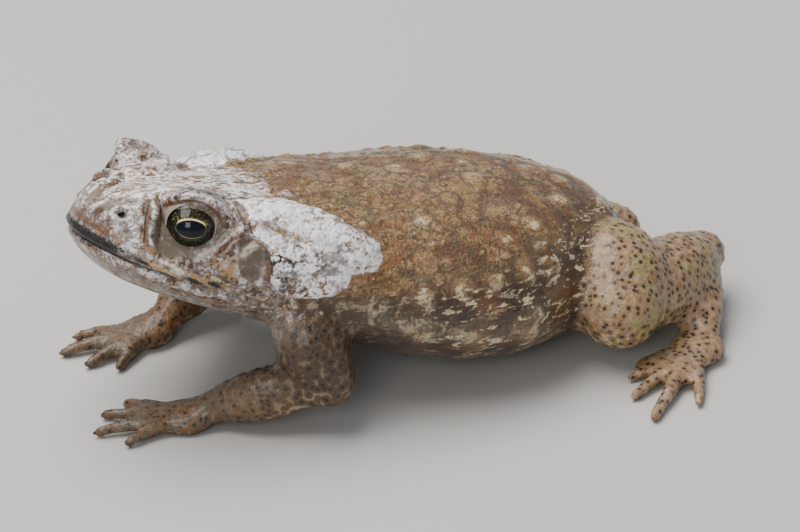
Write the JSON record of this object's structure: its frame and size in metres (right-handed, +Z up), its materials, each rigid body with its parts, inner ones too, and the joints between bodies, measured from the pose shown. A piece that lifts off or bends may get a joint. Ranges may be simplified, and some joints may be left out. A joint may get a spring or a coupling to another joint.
{
  "type": "cane toad",
  "caption": "Life-size still model of a large adult cane toad, sitting with its head raised, with warty skin, bony head crests and long glands over the shoulders.",
  "frame": {"origin": "middle of the toad's box, on the plane that it rests on", "axes": "-X towards the snout, +X towards the rump, -Y to the toad's left side, +Z up"},
  "size_m": [0.162, 0.1306, 0.0599],
  "materials": {
    "skin_back": "moist warty skin",
    "skin_head": "moist smooth skin over bone",
    "skin_limb": "moist skin with small dark-tipped warts",
    "gland": "moist pitted skin",
    "eye": "wet and glossy",
    "tympanum": "smooth taut skin"
  },
  "bodies": {
    "root": {"head": "skin_head", "lower_jaw": "skin_head", "torso": "skin_back", "parotoid_left": "gland", "parotoid_right": "gland", "eye_left": "eye", "eye_right": "eye", "tympanum_left": "tympanum", "tympanum_right": "tympanum", "upper_arm_left": "skin_limb", "upper_arm_right": "skin_limb", "forearm_left": "skin_limb", "forearm_right": "skin_limb", "hand_left": "skin_limb", "hand_right": "skin_limb", "thigh_left": "skin_limb", "thigh_right": "skin_limb", "shank_left": "skin_limb", "shank_right": "skin_limb", "tarsus_left": "skin_limb", "tarsus_right": "skin_limb", "foot_left": "skin_limb", "foot_right": "skin_limb"}
  },
  "joints": []
}
